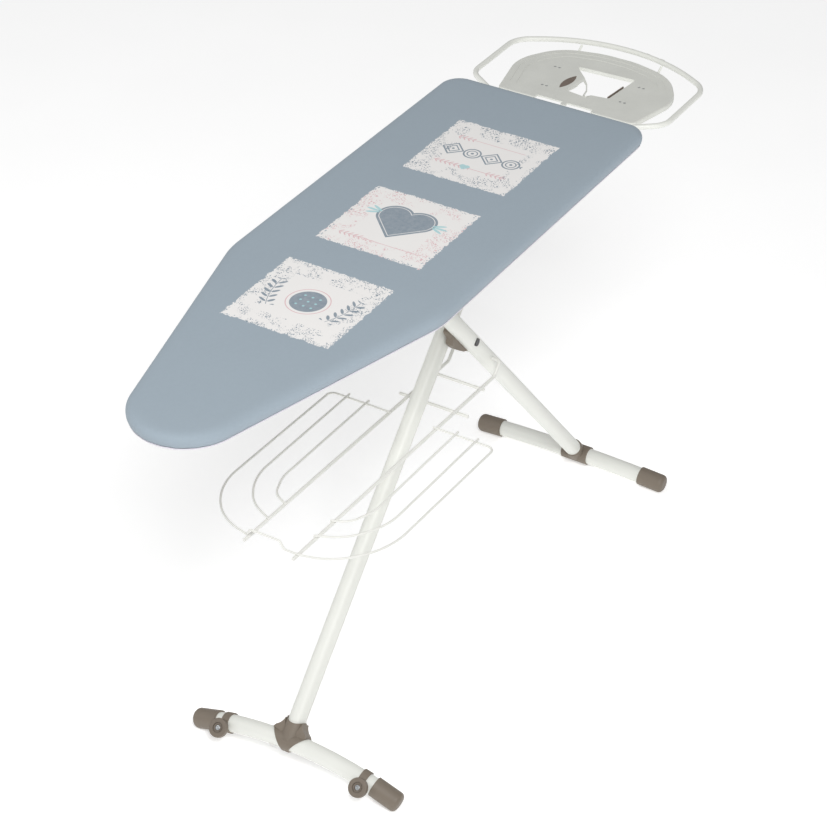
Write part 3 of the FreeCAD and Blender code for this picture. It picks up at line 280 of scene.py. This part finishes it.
def zinc_steel(name):
    """Bright zinc plate with a fine brushed direction and cloudy crystals."""
    surface = Surface(name, 0.34)
    surface.shader.inputs["Metallic"].default_value = 1.0
    _, tone, _ = surface.cells(260.0)
    surface.colour(colour_mix(surface.tree, tone, srgb(178, 181, 184), srgb(206, 208, 209)))
    surface.roughness(surface.noise(70.0, 4.0, 0.7) * 0.2 + 0.24)
    surface.bump(surface.noise(600.0, 3.0), 0.03 * MM, 0.5)
    return surface.material


def soft_rubber(name, colour, rib_pitch):
    """Matte rubber with fine ribs across it."""
    surface = Surface(name, 0.72)
    cloud = surface.noise(60.0, 3.0)
    surface.colour(colour_mix(surface.tree, cloud, scaled(colour, 0.9), scaled(colour, 1.1)))
    ribs = surface.x.repeat(rib_pitch) * (2 / rib_pitch)
    surface.bump(ribs + surface.noise(900.0) * 0.4, 0.15 * MM, 0.6)
    return surface.material


def felt(name):
    """Needle felt: fibres in every direction."""
    surface = Surface(name, 0.95)
    fibres = surface.noise(520.0, 6.0, 0.75)
    surface.colour(colour_mix(surface.tree, fibres, srgb(196, 194, 190), srgb(232, 230, 226)))
    surface.bump(fibres, 0.5 * MM, 0.9)
    surface.shader.inputs["Sheen Weight"].default_value = 0.3
    return surface.material


def braided(name, colour):
    """Braided elastic or twill tape."""
    surface = Surface(name, 0.85)
    pitch = 1.6 * MM
    diagonal = (surface.x + surface.y + surface.z).repeat(pitch) * (2 / pitch)
    counter = (surface.x - surface.y - surface.z).repeat(pitch) * (2 / pitch)
    weave = diagonal.most(counter)
    surface.colour(colour_mix(surface.tree, weave, scaled(colour, 0.84), scaled(colour, 1.04)))
    surface.bump(weave, 0.2 * MM, 0.6)
    return surface.material


def sprig(u, v, lean, half_height=40 * MM, pitch=14 * MM, leaf=7.5 * MM):
    """Stem with pairs of pointed leaves."""
    su, sv = turned(u, v, lean)
    bend = sv * sv * (3.0 if lean > 0 else -3.0)
    su = su - bend
    stem = block(su, sv, 0.6 * MM, half_height)
    leaf_u, leaf_v = turned(su.abs() - leaf, sv.wrap(pitch), math.radians(38))
    leaves = oval(leaf_u, leaf_v, leaf, leaf * 0.34).most(sv.abs() - half_height)
    return stem.least(leaves)


def garland(u, v, half_length, first, last):
    """Level stem with small leaves between two places along it."""
    stem = block(u, v, half_length, 0.7 * MM)
    middle, half = (first + last) / 2, (last - first) / 2
    leaf_u, leaf_v = turned(u.wrap(9 * MM), v.abs() - 3.6 * MM, math.radians(48))
    leaves = oval(leaf_u, leaf_v, 4.6 * MM, 1.3 * MM).most((u - middle).abs() - half)
    return stem.least(leaves)


def rays(u, v):
    """Three bold dashes that fan out on one side."""
    shapes = None
    for turn, reach in ((-24, 17 * MM), (2, 19 * MM), (28, 15 * MM)):
        ru, rv = turned(u, v, math.radians(turn))
        dash = oval(ru - reach, rv, 12 * MM, 2.7 * MM)
        shapes = dash if shapes is None else shapes.least(dash)
    return shapes


def print_one(u, v, paint):
    """First print: outlined rounds and diamonds in a row between two garlands."""
    pitch = 38 * MM
    row = v - 2 * MM
    along = (u + pitch / 2).wrap(pitch * 2)
    other = (u - pitch / 2).wrap(pitch * 2)
    ring = (disc(along, row, 15 * MM).abs() - 1.5 * MM).least(disc(along, row, 9 * MM).abs() - 1.1 * MM)
    diamond = other.abs() + row.abs()
    diamond = ((diamond - 20 * MM).abs() - 2 * MM).least((diamond - 12 * MM).abs() - 1.6 * MM)
    dots = disc(along, row, 3 * MM).least(disc(other, row, 2.6 * MM))
    paint(ring.least(diamond).least(dots).most(u.abs() - 78 * MM), INK)
    paint(garland(u + 4 * MM, v - 45 * MM, 66 * MM, -66 * MM, -34 * MM), PINK)
    paint(garland(u - 2 * MM, v + 46 * MM, 70 * MM, -70 * MM, 0.0), PINK)
    paint(garland(u - 2 * MM, v + 46 * MM, 70 * MM, 34 * MM, 70 * MM), PINK)
    paint(heart(u + 8 * MM, v + 47 * MM, 5.5 * MM), AQUA)


def print_two(u, v, paint):
    """Second print: one plain heart between fans of dashes, over a garland."""
    body = heart(u, v - 4 * MM, 32 * MM)
    paint(body, INK)
    paint((body + 5 * MM).abs() - 0.7 * MM, PRINT_WHITE)
    paint(rays(u.abs() - 46 * MM, v - 26 * MM), AQUA)
    paint(garland(u, v + 62 * MM, 76 * MM, -78 * MM, -30 * MM), PINK)


def print_three(u, v, paint):
    """Third print: a round dotted medallion in a thin ring, between leafy sprigs."""
    medallion = disc(u, v, 30 * MM)
    paint(medallion, INK)
    paint((medallion - 6 * MM).abs() - 0.9 * MM, PINK)
    dots = disc(u.wrap(14 * MM), v.wrap(14 * MM), 2.2 * MM)
    paint(dots.most(medallion + 5 * MM), AQUA)
    paint(sprig(u - 68 * MM, v - 2 * MM, math.radians(-14)), INK)
    paint(sprig(u + 68 * MM, v + 2 * MM, math.radians(14)), INK)


def splatter(surface, tree, colour, edge, white, centre, ink, seed):
    """Clusters of small printed specks near the edge of one square."""
    fine, pick, size = surface.cells(420.0)
    coarse, coarse_pick, coarse_size = surface.cells(190.0)
    drift = (surface.noise(30.0 + seed, 2.0) - 0.49).inside_where_positive()
    band = (edge + 38 * MM).apply("GREATER_THAN", 0.0)
    here = ((surface.x - centre).abs() - PRINT_HALF_X - 6 * MM).inside(1 * MM)
    small = ((fine - 0.26 - size * 0.2) * (2.4 * MM)).inside(0.4 * MM)
    large = ((coarse - 0.2 - coarse_size * 0.16) * (5 * MM)).inside(0.4 * MM)
    some = pick.apply("GREATER_THAN", 0.25)
    few = coarse_pick.apply("GREATER_THAN", 0.6)
    dots = (small * some).most(large * few)
    return colour_mix(tree, dots * drift * band * here * white, colour, ink)


def cover_fabric():
    """Woven cotton with three printed squares."""
    surface = Surface("cover_fabric", 0.86)
    tree = surface.tree
    slub = surface.noise(160.0, 5.0, 0.65)
    cloud = surface.noise(6.0, 3.0)
    tone = slub * 0.6 + cloud * 0.4
    cloth = colour_mix(tree, tone, scaled(COVER_COLOUR, 0.94), scaled(COVER_COLOUR, 1.06))
    v_raw, u_raw = surface.x, surface.y * -1 + PRINT_Y
    nearest = None
    for centre in PRINT_CENTRES:
        distance = (v_raw - centre).abs()
        nearest = distance if nearest is None else nearest.least(distance)
    edge = (nearest - PRINT_HALF_X).most(u_raw.abs() - PRINT_HALF_Y)
    ragged = edge + (surface.noise(95.0, 5.0, 0.7) - 0.5) * (14 * MM) + 0.5 * MM
    # Flecks of bare cloth gather in the outermost part of each square.
    fleck, fleck_pick, fleck_size = surface.cells(380.0)
    worn = (edge + 9 * MM) * (1 / (22 * MM))
    bare = (fleck_pick - worn).most(fleck - 0.4 - fleck_size * 0.2)
    bare_mask = (bare * MM).inside(0.05 * MM)
    white = ragged.inside(0.6 * MM) * (bare_mask * -1 + 1.0)
    result = {"colour": colour_mix(tree, white, cloth, PRINT_WHITE)}
    for number, (centre, ink) in enumerate(zip(PRINT_CENTRES, (INK, PINK, INK))):
        result["colour"] = splatter(surface, tree, result["colour"], edge, white, centre, ink, 7 * number)
    half = PRINT_HALF_X + 10 * MM
    grain = slub * 0.35 + 0.72
    grain.socket.node.use_clamp = True
    for centre, design in zip(PRINT_CENTRES, (print_one, print_two, print_three)):
        v = v_raw - centre
        here = (v.abs() - half).inside(0.5 * MM)

        def paint(shape, ink, here=here):
            mask = shape.inside() * here * grain
            result["colour"] = colour_mix(tree, mask, result["colour"], ink)

        design(u_raw, v, paint)
    surface.colour(result["colour"])
    pitch = 1.1 * MM
    warp = surface.x.repeat(pitch) * (2 / pitch)
    weft = surface.y.repeat(pitch) * (2 / pitch)
    surface.bump(warp.most(weft) + slub * 0.8, 0.12 * MM, 0.5)
    surface.shader.inputs["Sheen Weight"].default_value = 0.12
    surface.shader.inputs["Specular IOR Level"].default_value = 0.2
    return surface.material


def floor_paint():
    """Bright studio floor with a barely visible grain."""
    surface = Surface("floor_paint", 0.95)
    cloud = surface.noise(3.0, 3.0)
    surface.colour(colour_mix(surface.tree, cloud, srgb(240, 240, 240), srgb(246, 246, 246)))
    surface.bump(surface.noise(200.0), 0.02 * MM, 0.2)
    surface.shader.inputs["Specular IOR Level"].default_value = 0.1
    surface.shader.inputs["Emission Color"].default_value = (1.0, 1.0, 1.0, 1.0)
    surface.shader.inputs["Emission Strength"].default_value = FLOOR_GLOW
    return surface.material


WHITE_COAT = srgb(229, 230, 224)
BROWN = srgb(124, 114, 102)
MATERIALS = {
    "white_coat": powder_coat("white_coat", WHITE_COAT),
    "basket_coat": powder_coat("basket_coat", srgb(226, 226, 221)),
    "rim_steel": powder_coat("rim_steel", srgb(226, 226, 222)),
    "steel_mesh": powder_coat("steel_mesh", srgb(222, 222, 219)),
    "zinc_steel": zinc_steel("zinc_steel"),
    "tray_plastic": moulded_plastic("tray_plastic", srgb(216, 217, 211), 1500.0, 0.5),
    "brown_plastic": moulded_plastic("brown_plastic", BROWN, 1800.0, 0.52),
    "wheel_plastic": moulded_plastic("wheel_plastic", srgb(120, 110, 99), 1600.0, 0.5),
    "badge_black": moulded_plastic("badge_black", srgb(38, 36, 36), 2200.0, 0.22),
    "brown_rubber": soft_rubber("brown_rubber", srgb(118, 106, 97), 3 * MM),
    "felt": felt("felt"),
    "elastic": braided("elastic", srgb(232, 230, 226)),
    "hem_tape": braided("hem_tape", HEM_COLOUR),
    "cover_fabric": cover_fabric(),
}


def finish_cad_nodes():
    """Give every CAD node the material of its slot."""
    for entry in frame["record"]["subparts"]:
        piece = frame["nodes"][entry["node"]]
        material = MATERIALS[entry["material_slot"]]
        piece.data.materials.clear()
        piece.data.materials.append(material)


# ---------------------------------------------------------------------------
# Board cover.
# ---------------------------------------------------------------------------
def outline_corners():
    """Corners of the board's plan outline with their radii, in order."""
    apex = WIDE_END - BOARD_LENGTH + NOSE_RADIUS - NOSE_RADIUS / math.sin(TAPER)
    knee = apex + BOARD_HALF / math.tan(TAPER)
    return [
        (Vector((WIDE_END, BOARD_HALF)), CORNER_RADIUS),
        (Vector((WIDE_END, -BOARD_HALF)), CORNER_RADIUS),
        (Vector((knee, -BOARD_HALF)), KNEE_RADIUS),
        (Vector((apex, 0)), NOSE_RADIUS),
        (Vector((knee, BOARD_HALF)), KNEE_RADIUS),
    ]


def board_outline():
    """Evenly spaced (point, outward normal, bend) round the board."""
    corners = outline_corners()
    arcs = []
    for index, (corner, radius) in enumerate(corners):
        before = (corners[index - 1][0] - corner).normalized()
        after = (corners[(index + 1) % len(corners)][0] - corner).normalized()
        half = before.angle(after) / 2
        centre = corner + (before + after).normalized() * (radius / math.sin(half))
        start = corner + before * (radius / math.tan(half))
        arcs.append((centre, radius, start, math.pi - 2 * half, corner + after * (radius / math.tan(half))))
    samples = []
    for index, (centre, radius, start, sweep, end) in enumerate(arcs):
        count = max(2, round(radius * sweep / OUTLINE_STEP))
        first = math.atan2(start.y - centre.y, start.x - centre.x)
        for step in range(count):
            angle = first - sweep * step / count
            normal = Vector((math.cos(angle), math.sin(angle)))
            samples.append((centre + normal * radius, normal, min(1.0, 60 * MM / radius)))
        following = arcs[(index + 1) % len(arcs)][2]
        run = following - end
        count = max(1, round(run.length / OUTLINE_STEP))
        normal = Vector((-run.y, run.x)).normalized()
        for step in range(count):
            samples.append((end + run * (step / count), normal, 0.0))
    return samples


def ring_mesh(name, rings, material):
    """Mesh from rings of points that all have the same count."""
    mesh = bmesh.new()
    rows = [[mesh.verts.new(point) for point in ring] for ring in rings]
    count = len(rows[0])
    for low, high in zip(rows, rows[1:]):
        for index in range(count):
            nxt = (index + 1) % count
            mesh.faces.new((low[index], low[nxt], high[nxt], high[index]))
    bmesh.ops.remove_doubles(mesh, verts=mesh.verts, dist=0.02 * MM)
    bmesh.ops.recalc_face_normals(mesh, faces=mesh.faces)
    data = bpy.data.meshes.new(name)
    mesh.to_mesh(data)
    mesh.free()
    data.polygons.foreach_set("use_smooth", [True] * len(data.polygons))
    data.materials.append(material)
    piece = bpy.data.objects.new(name, data)
    bpy.context.scene.collection.objects.link(piece)
    return piece


def spine_point(point):
    """Nearest point of the board's middle line."""
    low = WIDE_END - BOARD_LENGTH + NOSE_RADIUS
    high = WIDE_END - BOARD_HALF * 0.98
    return Vector((min(max(point.x, low), high), 0))


def wobble(point, size, amount):
    """Smooth random height for cloth that isn't quite flat."""
    return noise.noise(Vector((point.x / size, point.y / size, 3.7))) * amount


OUTLINE = board_outline()


def side_ring(inset, height, pucker=0.0, lift=0.0):
    """Ring at one inset; pucker gathers it in and out where the outline bends."""
    ring = []
    travelled = 0.0
    for index, (point, normal, bend) in enumerate(OUTLINE):
        travelled += (point - OUTLINE[index - 1][0]).length
        gather = noise.noise(Vector((travelled / (11 * MM), 0.3, 0.0)))
        gather += 0.5 * noise.noise(Vector((travelled / (34 * MM), 5.3, 0.0)))
        amount = pucker * (0.25 + 0.75 * bend) * gather
        flat = point - normal * (inset + amount)
        ring.append(Vector((flat.x, flat.y, height + lift * gather)))
    return ring


def inner_ring(inset, share, height, uneven):
    """Ring part of the way from the rounded edge to the middle line."""
    ring = []
    for point, normal, _ in OUTLINE:
        start = point - normal * inset
        flat = start.lerp(spine_point(start), share)
        ring.append(Vector((flat.x, flat.y, height + wobble(flat, UNEVEN_SIZE, uneven))))
    return ring


def make_cover():
    """Cotton cover: padded top, rounded edge, gathered skirt turned in at the hem."""
    middle = (TOP_Z + HEM_Z) / 2
    rings = [
        side_ring(14.5 * MM, HEM_Z + 2.6 * MM, 0.6 * MM),
        side_ring(15.0 * MM, HEM_Z + 1.4 * MM, 0.8 * MM),
        side_ring(13.6 * MM, HEM_Z + 0.6 * MM, 0.8 * MM),
        side_ring(9.5 * MM, HEM_Z + 0.5 * MM, 0.8 * MM, 0.4 * MM),
        side_ring(6.0 * MM, HEM_Z + 1.4 * MM, 0.9 * MM, 0.5 * MM),
        side_ring(3.0 * MM, HEM_Z + 3.6 * MM, 0.9 * MM, 0.4 * MM),
        side_ring(1.2 * MM, HEM_Z + 6.6 * MM, 0.8 * MM),
        side_ring(0.3 * MM, HEM_Z + 10.0 * MM, 0.5 * MM),
        side_ring(0.0, middle + 1 * MM, 0.25 * MM),
        side_ring(0.5 * MM, TOP_Z - 9.0 * MM, 0.1 * MM),
        side_ring(1.7 * MM, TOP_Z - 6.2 * MM),
        side_ring(3.6 * MM, TOP_Z - 3.9 * MM),
        side_ring(6.2 * MM, TOP_Z - 2.2 * MM),
        side_ring(9.6 * MM, TOP_Z - 1.05 * MM),
        side_ring(14.0 * MM, TOP_Z - 0.35 * MM),
    ]
    for step in range(CROWN_RINGS + 1):
        share = step / CROWN_RINGS
        crown = CROWN_HEIGHT * (1 - (1 - share) ** 3)
        rings.append(inner_ring(EDGE_ROLL, share, TOP_Z + crown, CLOTH_UNEVEN * min(1.0, 3 * share)))
    piece = ring_mesh("board_cover", rings, MATERIALS["cover_fabric"])
    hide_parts("cover")
    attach(piece, "board")
    return piece


def make_hem():
    """Pale binding tape that shows under the cover's edge."""
    rings = [
        side_ring(5.4 * MM, HEM_Z + 1.3 * MM, 0.9 * MM),
        side_ring(3.3 * MM, HEM_Z + 2.4 * MM, 0.9 * MM),
        side_ring(2.6 * MM, HEM_Z + 1.8 * MM, 0.9 * MM),
        side_ring(3.6 * MM, HEM_Z - 0.2 * MM, 0.9 * MM),
        side_ring(6.0 * MM, HEM_Z - 1.7 * MM, 0.9 * MM),
        side_ring(9.0 * MM, HEM_Z - 1.9 * MM, 0.9 * MM),
        side_ring(9.6 * MM, HEM_Z - 0.9 * MM, 0.9 * MM),
        side_ring(8.6 * MM, HEM_Z + 0.2 * MM, 0.9 * MM),
        side_ring(5.4 * MM, HEM_Z + 1.3 * MM, 0.9 * MM),
    ]
    piece = ring_mesh("cover_hem", rings, MATERIALS["hem_tape"])
    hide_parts("hem_elastic")
    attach(piece, "board")
    return piece


def make_felt():
    """Felt underlay, seen from below through the steam slots."""
    bottom = FELT_LOW[2] + 0.05 * MM
    top = FELT_HIGH[2] - 0.5 * MM
    rings = [inner_ring(11 * MM, 1 - step / FELT_RINGS, bottom, 0.0) for step in range(FELT_RINGS + 1)]
    rings += [
        side_ring(8.0 * MM, bottom + 0.4 * MM),
        side_ring(6.2 * MM, (bottom + top) / 2 - 1 * MM),
        side_ring(7.5 * MM, top - 2.0 * MM),
        side_ring(12.0 * MM, top - 0.6 * MM),
    ]
    rings += [inner_ring(17 * MM, step / FELT_RINGS, top, 0.0) for step in range(FELT_RINGS + 1)]
    piece = ring_mesh("felt_underlay", rings, MATERIALS["felt"])
    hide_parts("felt_pad")
    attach(piece, "board")
    return piece


def cover_turn():
    """Cloth that goes from the top's edge round the side and in under the rim."""
    return (TOP_Z - HEM_Z) + HEM_TUCK


def cover_area():
    """Flat area of the cut: the board's plan and the turned-down border."""
    points = [point for point, _, _ in OUTLINE]
    plan = 0.0
    around = 0.0
    for first, second in zip(points, points[1:] + points[:1]):
        plan += first.x * second.y - second.x * first.y
        around += (second - first).length
    return abs(plan) / 2 + around * (cover_turn() - ROUNDED_EDGE_SAVING)


# ---------------------------------------------------------------------------
# Studio and camera.
# ---------------------------------------------------------------------------
FLOOR_HALF = 14.0
FLOOR_DROP = 0.3 * MM
WORLD_STRENGTH = 0.34
LIGHT_TARGET = (0, 0, 0.5)
CAMERA_PLACE = (-3.0434, -1.8354, 2.9803)
CAMERA_AZIMUTH = math.radians(-58.70)
CAMERA_ELEVATION = math.radians(35.06)
CAMERA_LENS = 107.30


def make_floor():
    size = FLOOR_HALF
    mesh = bpy.data.meshes.new("studio_floor")
    corners = [(-size, -size, 0), (size, -size, 0), (size, size, 0), (-size, size, 0)]
    mesh.from_pydata(corners, [], [(0, 1, 2, 3)])
    mesh.materials.append(floor_paint())
    floor = bpy.data.objects.new("studio_floor", mesh)
    floor.location.z = -FLOOR_DROP
    bpy.context.scene.collection.objects.link(floor)


def make_light(name, place, target, size, power):
    light = bpy.data.lights.new(name, "AREA")
    light.shape = "DISK"
    light.size = size
    light.energy = power
    lamp = bpy.data.objects.new(name, light)
    lamp.location = place
    lamp.rotation_euler = (Vector(target) - Vector(place)).to_track_quat("-Z", "Y").to_euler()
    bpy.context.scene.collection.objects.link(lamp)


def make_studio():
    make_floor()
    world = bpy.data.worlds.new("studio_world")
    bpy.context.scene.world = world
    world.use_nodes = True
    background = world.node_tree.nodes["Background"]
    background.inputs["Color"].default_value = (1.0, 1.0, 1.0, 1.0)
    background.inputs["Strength"].default_value = WORLD_STRENGTH
    make_light("key", (-2.6, -2.2, 4.2), LIGHT_TARGET, 1.8, 150.0)
    make_light("fill", (-2.0, 2.6, 3.0), LIGHT_TARGET, 2.0, 30.0)


def make_camera():
    """Long lens from the nose side, looking down at the board."""
    camera = bpy.data.cameras.new("camera")
    camera.sensor_width = 36.0
    camera.lens = CAMERA_LENS
    camera.clip_end = 60.0
    eye = bpy.data.objects.new("camera", camera)
    back = Vector((
        math.sin(CAMERA_AZIMUTH) * math.cos(CAMERA_ELEVATION),
        -math.cos(CAMERA_AZIMUTH) * math.cos(CAMERA_ELEVATION),
        math.sin(CAMERA_ELEVATION),
    ))
    eye.location = CAMERA_PLACE
    eye.rotation_euler = (-back).to_track_quat("-Z", "Y").to_euler()
    bpy.context.scene.collection.objects.link(eye)
    bpy.context.scene.camera = eye


make_camera()
make_studio()
finish_cad_nodes()
COVER = make_cover()
HEM = make_hem()
FELT = make_felt()
cover_area()

scene = bpy.context.scene
scene.view_settings.view_transform = "Standard"
scene.view_settings.look = "None"
